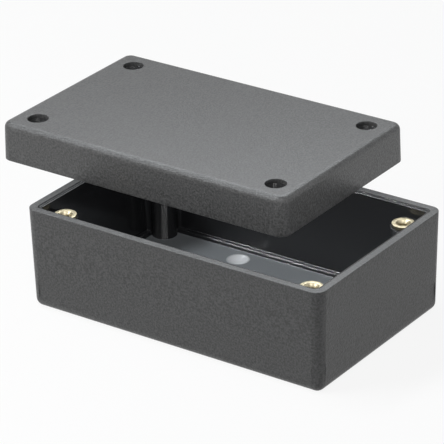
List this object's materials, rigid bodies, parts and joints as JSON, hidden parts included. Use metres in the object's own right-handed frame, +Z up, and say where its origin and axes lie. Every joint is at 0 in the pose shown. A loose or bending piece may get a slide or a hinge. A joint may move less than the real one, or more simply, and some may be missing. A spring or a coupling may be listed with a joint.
{
  "type": "plastic project box",
  "caption": "Black moulded project box with a deep lid lying askew across the open tray; corner pillars carry flanged brass screw inserts and the lid has counterbored screw holes.",
  "frame": {"origin": "centre of the tray's flat underside", "axes": "+X along the length towards the right end, +Y to the back, +Z up out of the tray's mouth"},
  "size_m": [0.1326, 0.0892, 0.0454],
  "materials": {
    "black_abs": "fine spark-textured black ABS outside, glossy inside",
    "brass": "turned, bright"
  },
  "bodies": {
    "root": {"base": "black_abs", "brass_insert_front_left": "brass", "brass_insert_front_right": "brass", "brass_insert_back_left": "brass", "brass_insert_back_right": "brass", "lid": "black_abs"}
  },
  "joints": []
}
